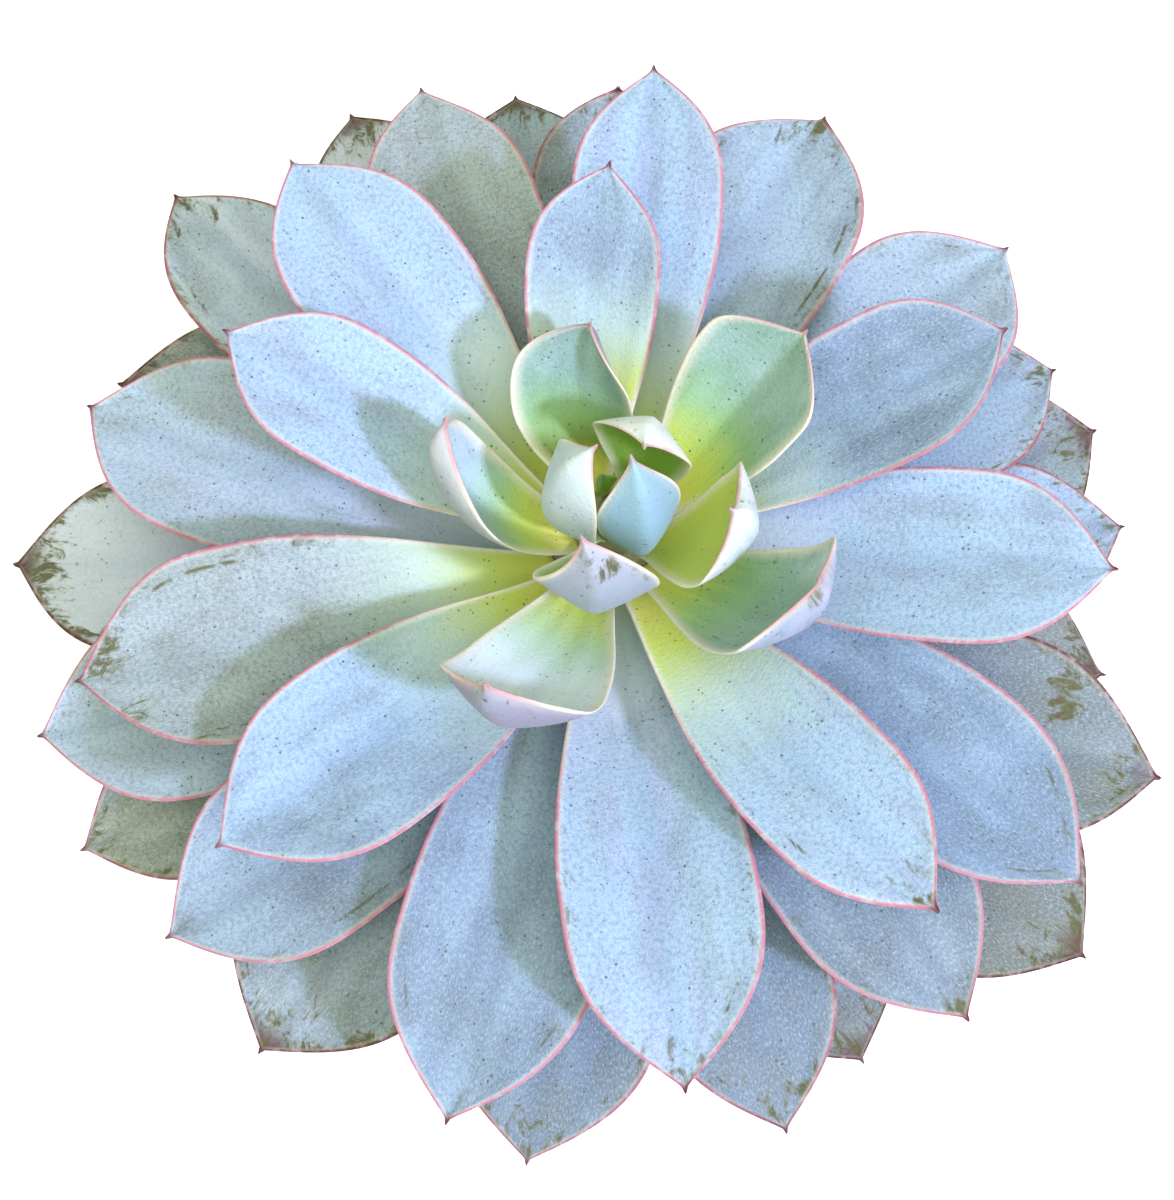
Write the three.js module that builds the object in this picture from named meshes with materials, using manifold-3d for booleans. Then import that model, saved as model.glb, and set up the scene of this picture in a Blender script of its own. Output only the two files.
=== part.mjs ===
// A potted Echeveria cante: a wide rosette of fleshy leaves on a short stem, in soil, in a plain clay pot.
// Millimetres, +Z up. The origin is on the pot's axis, in the plane of the pot's foot.
// Azimuths are in degrees, counterclockwise from +X as seen from above.
import * as THREE from "three";
import { mergeVertices } from "three/addons/utils/BufferGeometryUtils.js";
import Module from "manifold-3d";

const wasm = await Module();
wasm.setup();

// Driving dimensions
const GAP = 0.3; // kept between pieces that touch
const POT_HEIGHT = 120;
const RIM_RADIUS = 84;
const RIM_BAND = 26;
const RIM_STEP = 4; // how far the rim band stands out from the body
const FOOT_RADIUS = 55;
const RIM_ROUND = 3; // the rim's edges
const FOOT_ROUND = 2; // the foot's edge
const BAND_BEVEL = 1; // under the rim band
const WALL = 6;
const FLOOR = 8;
const FLOOR_SLOPE = 5; // between the floor and the wall, inside
const DRAIN_RADIUS = 6;
const DRAIN_CIRCLE = 30;
const DRAINS = 3;
const SOIL_TOP = 106;
const SOIL_MOUND = 3.5; // how far the soil rises towards the stem
const SOIL_GAP = 0.5; // between the soil and what it touches
const STEM_FOOT = 62; // the lower end of the stem, buried in the soil
const STEM_POINT = 6; // radius of that end
const STEM_TAPER = 20; // height over which it widens
const STEM_RADIUS = 12.5;
const STEM_SHOULDER = 150; // the height from which the stem narrows
const STEM_TOP = 177;
const LEAN = [6, 3]; // how far the growing point stands off the pot's axis, in X and Y
const LEAN_FROM = 145; // the height from which the stem leans
const ROUND_SIDES = 48;

// One row for each leaf, from the youngest ring to the oldest. at: height of its root on the stem.
// az: azimuth of its root. pitch: rise above the horizontal at its root and at its tip, in degrees.
// bend: how far its tip swings round, counterclockwise. roll: how far its left edge is turned up.
// skew: how far its tip stands to the left of the midrib's line. ease: how late the pitch changes.
// waist: where it is widest. base: its width at the root. taper: how full it is beyond the waist.
const RINGS = [
  {
    name: "heart_leaf",
    cup: 0.5,
    thick: 3.2,
    ease: 2,
    waist: 0.6,
    base: 0.4,
    taper: 1.2,
    leaves: [
      { az: 284, at: 173, length: 53, width: 19, pitch: [64, 149], bend: 8 },
      { az: 204, at: 171, length: 54.5, width: 22, pitch: [63, 150], bend: 3, roll: -6 },
      { az: 62, at: 171, length: 46, width: 24, pitch: [75, 162], bend: 4, skew: -3, cup: 0.34, ease: 2.6 },
      { az: 250, at: 168, length: 63, width: 28, pitch: [44, 142], bend: 52, roll: -19, cup: 0.34, waist: 0.5 },
      { az: 130, at: 172, length: 11, width: 6, pitch: [84, 100] },
    ],
  },
  {
    name: "inner_leaf",
    cup: 0.5,
    thick: 4.5,
    ease: 4,
    waist: 0.78,
    base: 0.31,
    leaves: [
      { az: 328, at: 167, length: 52, width: 30, pitch: [54, 155], bend: 20, cup: 0.36, waist: 0.72, ease: 5 },
      { az: 316, at: 162, length: 76, width: 33, pitch: [41, 116], bend: 5, skew: 5, cup: 0.34 },
      { az: 250, at: 163, length: 88, width: 33, pitch: [37, 116], skew: -6, cup: 0.34, waist: 0.74 },
      {
        ...{ az: 193, at: 165, length: 59, width: 24, pitch: [48, 122], bend: -26, roll: 20, skew: -11 },
        ...{ waist: 0.66, base: 0.42 },
      },
      {
        ...{ az: 117.5, at: 165, length: 50, width: 28, pitch: [52, 78], bend: -42, roll: -26, skew: -3 },
        ...{ waist: 0.58, base: 0.26 },
      },
      { az: 32.5, at: 164.5, length: 62, width: 33, pitch: [48, 54], bend: 7, waist: 0.76 },
    ],
  },
  {
    name: "middle_leaf",
    cup: 0.22,
    thick: 5,
    ease: 1.1,
    waist: 0.66,
    base: 0.26,
    leaves: [
      { az: 102, at: 160, length: 80, width: 31, pitch: [48, 24], bend: -26 },
      { az: 165, at: 160, length: 94, width: 34, pitch: [40, 10], bend: -15 },
      { az: 20, at: 159.5, length: 95, width: 37, base: 0.24, pitch: [39, 8], bend: 5 },
      { az: 233, at: 157, length: 113, width: 42, pitch: [35, 2], bend: -19 },
      { az: 300, at: 157.5, length: 113, width: 35, pitch: [35, 2], bend: 12 },
      { az: 349, at: 155, length: 109, width: 42, pitch: [31, 4], bend: 5 },
      { az: 81, at: 155, length: 106, width: 36, pitch: [34, 6], bend: 7 },
      { az: 205, at: 152, length: 118, width: 47, pitch: [27, 0], bend: -13 },
      { az: 137, at: 155, length: 109, width: 41, pitch: [32, 4], bend: -12 },
      { az: 277, at: 152.5, length: 124, width: 43, pitch: [28.5, -2] },
    ],
  },
  {
    name: "outer_leaf",
    cup: 0.18,
    thick: 5,
    ease: 1.1,
    waist: 0.66,
    base: 0.21,
    leaves: [
      { az: 325, at: 151, length: 126, width: 42, pitch: [25.5, -6.5], bend: -9 },
      { az: 118, at: 149, length: 119, width: 41, pitch: [22, -6], bend: -15 },
      { az: 67, at: 148, length: 116, width: 49, pitch: [22, -6], bend: -8 },
      { az: 172, at: 147, length: 121, width: 47, pitch: [18, -8], bend: -17 },
      { az: 258, at: 148.2, length: 130, width: 46, pitch: [22, -8], bend: -5 },
      { az: 235, at: 143.9, length: 127, width: 47, pitch: [15.5, -8], bend: -26 },
      { az: 307, at: 146.4, length: 128, width: 44, pitch: [18, -8], bend: -3 },
      { az: 204, at: 140.1, length: 131, width: 50, base: 0.19, pitch: [11.2, -8], bend: -13 },
      { az: 34, at: 143, length: 122, width: 47, pitch: [16, -9], bend: 10 },
      { az: 327, at: 141.7, length: 132, width: 48, pitch: [13.5, -8], bend: 22 },
    ],
  },
  {
    name: "oldest_leaf",
    cup: 0.14,
    thick: 4.5,
    ease: 1.1,
    waist: 0.68,
    base: 0.18,
    leaves: [
      { az: 120, at: 136, length: 138, width: 45, pitch: [10, -13], bend: -6 },
      { az: 103, at: 130, length: 135, width: 51, pitch: [5, -11], bend: -8 },
      { az: 89, at: 140, length: 125, width: 42, pitch: [14, -14], bend: -2 },
      { az: 146, at: 141, length: 141, width: 39, pitch: [15, -13], bend: -18 },
      { az: 153, at: 131.8, length: 128, width: 54, pitch: [5.2, -11.5], bend: 7 },
      { az: 181, at: 135.8, length: 137, width: 49, pitch: [8.4, -12], bend: -5 },
      { az: 165, at: 127, length: 124, width: 40, pitch: [1, -8] },
      { az: 212, at: 132, length: 133, width: 44, pitch: [8, -12], bend: -8 },
      { az: 238, at: 136.6, length: 131, width: 54, pitch: [11, -13], bend: -5 },
      { az: 266, at: 133, length: 132, width: 51, pitch: [8, -12], bend: -7 },
      { az: 287, at: 139, length: 131, width: 43, pitch: [14, -14] },
      { az: 296, at: 127, length: 122, width: 50, pitch: [1, -8], bend: 4 },
      { az: 321, at: 131, length: 138, width: 57, pitch: [6, -12] },
      { az: 348, at: 137.5, length: 115, width: 42, pitch: [9.6, -12.5] },
      { az: 2, at: 132.5, length: 123, width: 43, pitch: [5.5, -10], bend: 10 },
      { az: 27, at: 138.5, length: 118, width: 44, pitch: [10.5, -13], bend: -4 },
      { az: 16, at: 127, length: 127, width: 52, pitch: [1, -8], bend: 7 },
    ],
  },
];

// Where the leaf sheets have their rows of points: along the leaf, and across it from edge to edge
const ALONG = [0, 0.16, 0.32, 0.47, 0.6, 0.71, 0.8, 0.88, 0.94, 0.98, 1];
const ACROSS = [-1, -0.5, 0, 0.5, 1];
const EDGE = 1.1; // thickness at a leaf's margin
const TIP_WIDTH = 1.4; // across the point of a leaf
const SPINE_STEPS = 100;

const radians = THREE.MathUtils.degToRad;
const mix = THREE.MathUtils.lerp;

// A leaf's half-width as a share of the greatest, at a share s of its length
function outline(s, { waist, base, taper = 1.6 }) {
  if (s < waist) return mix(base, 1, Math.sin((Math.PI / 2) * (s / waist)) ** 1.4);
  const t = (s - waist) / (1 - waist);
  return Math.cos((Math.PI / 2) * t ** taper) ** 1.05;
}

// The stem's radius at a height, where leaves root
function stemRadius(z) {
  if (z < STEM_SHOULDER) return STEM_RADIUS;
  const t = (z - STEM_SHOULDER) / (STEM_TOP - STEM_SHOULDER);
  return STEM_RADIUS * Math.sqrt(Math.max(0, 1 - t ** 1.6));
}

// The stem's centre at a height
function stemCentre(z) {
  const t = Math.max(0, (z - LEAN_FROM) / (STEM_TOP - LEAN_FROM));
  return LEAN.map((reach) => reach * t ** 1.5);
}

// Points and axes along the leaf's midrib: it leaves the stem at its azimuth, and its pitch and
// heading change as it grows out.
function spine(leaf) {
  const { az, at, length, pitch, bend = 0, roll = 0, ease } = leaf;
  const start = stemRadius(at) + GAP;
  const [x, y] = stemCentre(at);
  const point = new THREE.Vector3(
    x + start * Math.cos(radians(az)),
    y + start * Math.sin(radians(az)),
    at,
  );
  const frameAt = (s) => {
    const rise = radians(mix(pitch[0], pitch[1], s ** ease));
    const heading = radians(az + bend * s);
    const turn = radians(roll * s);
    const along = new THREE.Vector3(
      Math.cos(rise) * Math.cos(heading),
      Math.cos(rise) * Math.sin(heading),
      Math.sin(rise),
    );
    const left = new THREE.Vector3(-Math.sin(heading), Math.cos(heading), 0);
    const up = along.clone().cross(left);
    return {
      along,
      left: left.clone().multiplyScalar(Math.cos(turn)).addScaledVector(up, Math.sin(turn)),
      up: up.clone().multiplyScalar(Math.cos(turn)).addScaledVector(left, -Math.sin(turn)),
    };
  };
  const frames = [{ s: 0, point: point.clone(), ...frameAt(0) }];
  for (let i = 0; i < SPINE_STEPS; i++) {
    const middle = frameAt((i + 0.5) / SPINE_STEPS);
    point.addScaledVector(middle.along, length / SPINE_STEPS);
    const s = (i + 1) / SPINE_STEPS;
    frames.push({ s, point: point.clone(), ...frameAt(s) });
  }
  return frames;
}

// A point of the leaf: s along it, v across it from -1 at the right edge to 1 at the left, on its
// upper face or on its lower one
function bladePoint(leaf, frames, s, v, lower) {
  const { point, left, up } = frames[Math.round(s * SPINE_STEPS)];
  const half = Math.max((leaf.width / 2) * outline(s, leaf), TIP_WIDTH / 2);
  const fold = mix(0.35, 0.8, s ** 3); // how much of the hollow is a crease along the midrib
  const depth = leaf.cup * mix(0.7, 1, Math.min(1, s * 2));
  const rise = depth * half * (fold * Math.abs(v) + (1 - fold) * v * v);
  const slope = depth * (fold * Math.sign(v) + 2 * (1 - fold) * v);
  const swell = s < 0.3 ? mix(0.45, 1, s / 0.3) : mix(1, 0.45, (s - 0.3) / 0.7);
  const body = leaf.thick * swell + EDGE;
  const thickness = mix(body, EDGE, Math.abs(v) ** 2) * (lower ? 1 : 0);
  const lean = Math.hypot(1, slope);
  const aside = half * v + (leaf.skew ?? 0) * s ** 5;
  return point
    .clone()
    .addScaledVector(left, aside + (thickness * slope) / lean)
    .addScaledVector(up, rise - thickness / lean);
}

// Closed body of one leaf: an upper and a lower sheet on the same grid, and a rim between them
function leafGeometry(leaf) {
  const frames = spine(leaf);
  const columns = ACROSS.length;
  const rows = ALONG.length;
  const positions = [];
  for (const lower of [false, true])
    for (const s of ALONG)
      for (const v of ACROSS) positions.push(...bladePoint(leaf, frames, s, v, lower));
  const index = [];
  const sheet = rows * columns;
  for (let i = 0; i < rows - 1; i++)
    for (let j = 0; j < columns - 1; j++) {
      const a = i * columns + j;
      const b = a + 1;
      const c = a + columns + 1;
      const d = a + columns;
      index.push(a, d, c, a, c, b);
      index.push(a + sheet, c + sheet, d + sheet, a + sheet, b + sheet, c + sheet);
    }
  const rim = [];
  for (let j = 0; j < columns; j++) rim.push(j);
  for (let i = 1; i < rows; i++) rim.push(i * columns + columns - 1);
  for (let j = columns - 2; j >= 0; j--) rim.push((rows - 1) * columns + j);
  for (let i = rows - 2; i > 0; i--) rim.push(i * columns);
  rim.forEach((a, k) => {
    const b = rim[(k + 1) % rim.length];
    index.push(a, b, b + sheet, a, b + sheet, a + sheet);
  });
  const geometry = new THREE.BufferGeometry();
  geometry.setAttribute("position", new THREE.Float32BufferAttribute(positions, 3));
  geometry.setIndex(index);
  geometry.computeVertexNormals();
  return geometry;
}

// A solid of revolution about Z, from a profile of [radius, height] points
function turned(profile, sides = ROUND_SIDES) {
  const points = profile.map(([radius, height]) => new THREE.Vector2(radius, height));
  return new THREE.LatheGeometry(points, sides).rotateX(Math.PI / 2);
}

// A quarter of a round edge between two heights and radii, as profile points
function roundEdge(centreRadius, centreHeight, radius, from, to, steps = 3) {
  return Array.from({ length: steps + 1 }, (_, i) => {
    const angle = radians(mix(from, to, i / steps));
    return [
      centreRadius + radius * Math.cos(angle),
      centreHeight + radius * Math.sin(angle),
    ];
  });
}

function solidOf(geometry) {
  const bare = geometry.index ? geometry.toNonIndexed() : geometry.clone();
  const only = new THREE.BufferGeometry();
  only.setAttribute("position", bare.getAttribute("position"));
  const merged = mergeVertices(only, 1e-3);
  return new wasm.Manifold(
    new wasm.Mesh({
      numProp: 3,
      vertProperties: merged.attributes.position.array,
      triVerts: new Uint32Array(merged.index.array),
    }),
  );
}

function geometryOf(solid) {
  const mesh = solid.getMesh();
  const geometry = new THREE.BufferGeometry();
  geometry.setAttribute("position", new THREE.BufferAttribute(mesh.vertProperties, 3));
  geometry.setIndex(new THREE.BufferAttribute(mesh.triVerts, 1));
  geometry.computeVertexNormals();
  return geometry;
}

// Inside radius of the pot's wall at a height
function insideRadius(z) {
  const outside = mix(FOOT_RADIUS, RIM_RADIUS - RIM_STEP, z / POT_HEIGHT);
  return outside - WALL;
}

function potGeometry() {
  const bandFoot = POT_HEIGHT - RIM_BAND;
  const bodyTop = mix(FOOT_RADIUS, RIM_RADIUS - RIM_STEP, bandFoot / POT_HEIGHT);
  const profile = [
    [0, 0],
    ...roundEdge(FOOT_RADIUS - FOOT_ROUND, FOOT_ROUND, FOOT_ROUND, -90, 0, 2),
    [bodyTop, bandFoot - BAND_BEVEL],
    [bodyTop + RIM_STEP - BAND_BEVEL, bandFoot],
    [bodyTop + RIM_STEP, bandFoot + 1.5 * BAND_BEVEL],
    ...roundEdge(RIM_RADIUS - RIM_ROUND, POT_HEIGHT - RIM_ROUND, RIM_ROUND, 0, 90),
    ...roundEdge(insideRadius(POT_HEIGHT) + RIM_ROUND, POT_HEIGHT - RIM_ROUND, RIM_ROUND, 90, 180),
    [insideRadius(FLOOR + FLOOR_SLOPE), FLOOR + FLOOR_SLOPE],
    [insideRadius(FLOOR) - FLOOR_SLOPE, FLOOR],
    [0, FLOOR],
  ];
  let pot = solidOf(turned(profile));
  for (let i = 0; i < DRAINS; i++) {
    const angle = (2 * Math.PI * i) / DRAINS;
    const drill = new THREE.CylinderGeometry(DRAIN_RADIUS, DRAIN_RADIUS, 4 * FLOOR, 16)
      .rotateX(Math.PI / 2)
      .translate(DRAIN_CIRCLE * Math.cos(angle), DRAIN_CIRCLE * Math.sin(angle), 0);
    pot = pot.subtract(solidOf(drill));
  }
  return geometryOf(pot);
}

function soilGeometry() {
  const bottom = FLOOR + GAP;
  const side = insideRadius(SOIL_TOP);
  const hole = STEM_RADIUS + SOIL_GAP;
  const profile = [
    [0, bottom],
    [insideRadius(FLOOR) - FLOOR_SLOPE - GAP, bottom],
    [insideRadius(FLOOR + FLOOR_SLOPE) - SOIL_GAP, bottom + FLOOR_SLOPE],
    [side - SOIL_GAP, SOIL_TOP - 0.4 * SOIL_MOUND],
    [0.82 * side, SOIL_TOP],
    [0.4 * side, SOIL_TOP + 0.6 * SOIL_MOUND],
    [hole, SOIL_TOP + SOIL_MOUND],
    [hole, STEM_FOOT + STEM_TAPER],
    [STEM_POINT + GAP, STEM_FOOT - GAP],
    [0, STEM_FOOT - GAP],
  ];
  return turned(profile);
}

function stemGeometry() {
  const heights = [0, 0.22, 0.44, 0.63, 0.78, 0.89, 0.96].map((t) => mix(STEM_SHOULDER, STEM_TOP, t));
  const profile = [
    [0, STEM_FOOT],
    [STEM_POINT, STEM_FOOT],
    [STEM_RADIUS, STEM_FOOT + STEM_TAPER + SOIL_GAP],
    ...heights.map((z) => [stemRadius(z), z]),
    [0, STEM_TOP],
  ];
  const geometry = turned(profile, 24);
  const place = geometry.getAttribute("position");
  for (let i = 0; i < place.count; i++) {
    const [x, y] = stemCentre(place.getZ(i));
    place.setXY(i, place.getX(i) + x, place.getY(i) + y);
  }
  return geometry;
}

const finishes = {
  clay: new THREE.MeshStandardMaterial({ color: 0xb5694a, roughness: 0.85 }),
  soil: new THREE.MeshStandardMaterial({ color: 0x3a2c22, roughness: 1 }),
  stem: new THREE.MeshStandardMaterial({ color: 0x8d8468, roughness: 0.8 }),
  leaf: new THREE.MeshStandardMaterial({ color: 0xa9c0d2, roughness: 0.6 }),
};

function piece(name, geometry, finish) {
  const mesh = new THREE.Mesh(geometry, finish);
  mesh.name = name;
  return mesh;
}

const plant = new THREE.Group();
plant.add(piece("pot", potGeometry(), finishes.clay));
plant.add(piece("soil", soilGeometry(), finishes.soil));
plant.add(piece("stem", stemGeometry(), finishes.stem));
for (const { leaves, name, ...shape } of RINGS)
  leaves.forEach((leaf, i) => {
    const geometry = leafGeometry({ ...shape, ...leaf });
    plant.add(piece(`${name}_${String(i + 1).padStart(2, "0")}`, geometry, finishes.leaf));
  });

export default plant;
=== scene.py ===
"""The looks of a potted Echeveria cante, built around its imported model. Metres, +Z up."""

import math

import bmesh
import bpy
from mathutils import Matrix, Vector, noise


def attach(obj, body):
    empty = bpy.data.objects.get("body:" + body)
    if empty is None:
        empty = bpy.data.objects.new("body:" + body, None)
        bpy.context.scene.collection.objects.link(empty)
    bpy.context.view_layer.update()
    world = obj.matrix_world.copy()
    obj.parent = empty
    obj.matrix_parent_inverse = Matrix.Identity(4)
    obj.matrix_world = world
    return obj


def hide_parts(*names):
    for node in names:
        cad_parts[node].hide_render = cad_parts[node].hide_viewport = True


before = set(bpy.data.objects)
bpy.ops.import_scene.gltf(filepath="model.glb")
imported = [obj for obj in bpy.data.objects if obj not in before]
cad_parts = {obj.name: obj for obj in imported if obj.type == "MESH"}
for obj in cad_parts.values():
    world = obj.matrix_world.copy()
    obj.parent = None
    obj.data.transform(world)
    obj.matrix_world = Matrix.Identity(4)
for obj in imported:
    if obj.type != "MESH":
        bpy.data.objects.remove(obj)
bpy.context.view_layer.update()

MM = 0.001


def linear(share):
    """The light that a colour channel stands for, from how bright it looks, both 0 to 1."""
    if share < 0.04:
        return share / 12.92
    return ((share + 0.055) / 1.055) ** 2.4


def paint(red, green, blue):
    """A colour given as it looks, 0 to 255, as the linear values that a shader takes."""
    return (*[linear(value / 255) for value in (red, green, blue)], 1.0)


# The powder of the grown leaves: blue and green, pale and then deep, and the palest bloom
BLUE_POWDER = paint(148, 179, 200)
GREY_GREEN_POWDER = paint(152, 164, 150)
DEEP_BLUE = paint(98, 128, 158)
DEEP_GREEN = paint(102, 112, 98)
BLOOM = paint(192, 206, 220)

# The same five for the young leaves, and the lavender of the soft bands on every leaf
ICE_POWDER = paint(172, 200, 208)
MINT_POWDER = paint(136, 172, 156)
DEEP_SEA = paint(112, 148, 150)
DEEP_MINT = paint(96, 134, 100)
FROST = paint(214, 232, 238)
LAVENDER_POWDER = paint(158, 172, 200)

# The feet of the leaves and the halo above them
LEAF_FOOT = paint(182, 200, 88)
HEART_FOOT = paint(122, 164, 52)
DEEP_FOOT = paint(104, 128, 44)
# A brighter yellow for the very foot: painted light, a glow where the foot sits among the leaves'
# shade
YELLOW_FOOT_PAINTED_GLOW = paint(214, 212, 100)
PALE_HALO = paint(184, 212, 190)
MINT_HALO = paint(146, 190, 116)

# Margins, tips, scars and specks
# PALE_EDGE is the cream of the margin line and also the colour of the painted glow inside it
PALE_EDGE = paint(220, 218, 196)
PINK_EDGE = paint(170, 86, 118)
BROWN_EDGE = paint(80, 46, 40)
BROWN_TIP = paint(78, 38, 34)
OLIVE_SCAR = paint(78, 86, 36)
TAN_SCAR = paint(84, 66, 40)
WEATHERED = paint(218, 222, 222)
SPECK = paint(56, 74, 58)

# The backs of the leaves
WHITE_BACK = paint(214, 222, 222)
CREAM_BACK = paint(192, 206, 212)
LAVENDER_BACK = paint(156, 160, 180)
SEA_BACK = paint(136, 172, 194)
LILAC_BACK = paint(122, 108, 130)
ASH_BACK = paint(172, 176, 176)
BLUE_BACK = paint(150, 168, 184)
GREY_BACK = paint(134, 148, 152)

# The pot, the soil, the stem and the floor
CLAY = paint(176, 104, 74)
PALE_CLAY = paint(200, 128, 94)
CLAY_GRIT = paint(146, 84, 62)
DAMP_CLAY = paint(120, 74, 56)
LIME_SALT = paint(222, 206, 190)
SOIL_BROWN = paint(50, 38, 30)
PALE_SOIL = paint(92, 72, 54)
DARK_SOIL = paint(34, 26, 22)
GRIT_STONE = paint(170, 160, 146)
STEM_GREY = paint(150, 140, 112)
PALE_STEM = paint(172, 168, 146)
STEM_RINGS = paint(104, 86, 66)
FLOOR_WHITE = paint(254, 254, 254)
BLACK = (0, 0, 0, 1)

# The plant's driving dimensions, in millimetres, as in the model
GAP = 0.3  # kept between pieces that touch
POT_HEIGHT = 120
RIM_RADIUS = 84
RIM_BAND = 26  # height of the band round the rim
RIM_STEP = 4  # how far the band stands out
FOOT_RADIUS = 55
RIM_ROUND = 3
FOOT_ROUND = 2
WALL = 6
FLOOR = 8
FLOOR_SLOPE = 5  # between the pot's floor and its wall, inside
DRAIN_RADIUS = 6
DRAIN_CIRCLE = 30  # how far the drain holes are from the pot's axis
DRAINS = 3
SOIL_TOP = 106
SOIL_GAP = 0.5  # between the soil and what it touches
STEM_FOOT = 62
STEM_POINT = 6  # the radius of the stem's foot
STEM_TAPER = 20  # the height over which the stem widens from there
STEM_RADIUS = 12.5
STEM_SHOULDER = 150  # where the stem starts to round off to its top
STEM_TOP = 177
LEAN = (6, 3)  # how far the stem's top leans to the right and the back
LEAN_FROM = 145

# Here alone: the height of one step of the stem's side
STEM_STEP = 2.2

# The skins of the young and the grown leaves, in the words of LeafSkin
YOUNG_SKIN = {
    "powders": (ICE_POWDER, MINT_POWDER, DEEP_SEA, DEEP_MINT, FROST),
    "halo": MINT_HALO,
    "painted_paling": (0.3, 0.9, 0.1, -0.5),
    "grit": 0.2,
}
GROWN_SKIN = {
    "powders": (BLUE_POWDER, GREY_GREEN_POWDER, DEEP_BLUE, DEEP_GREEN, BLOOM),
    "halo": PALE_HALO,
    "foot": LEAF_FOOT,
    "edge_pale": 0.1,
    "painted_paling": (0.15, 0.6, -0.8, 0.1),
    "grit": 0.5,
}
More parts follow.
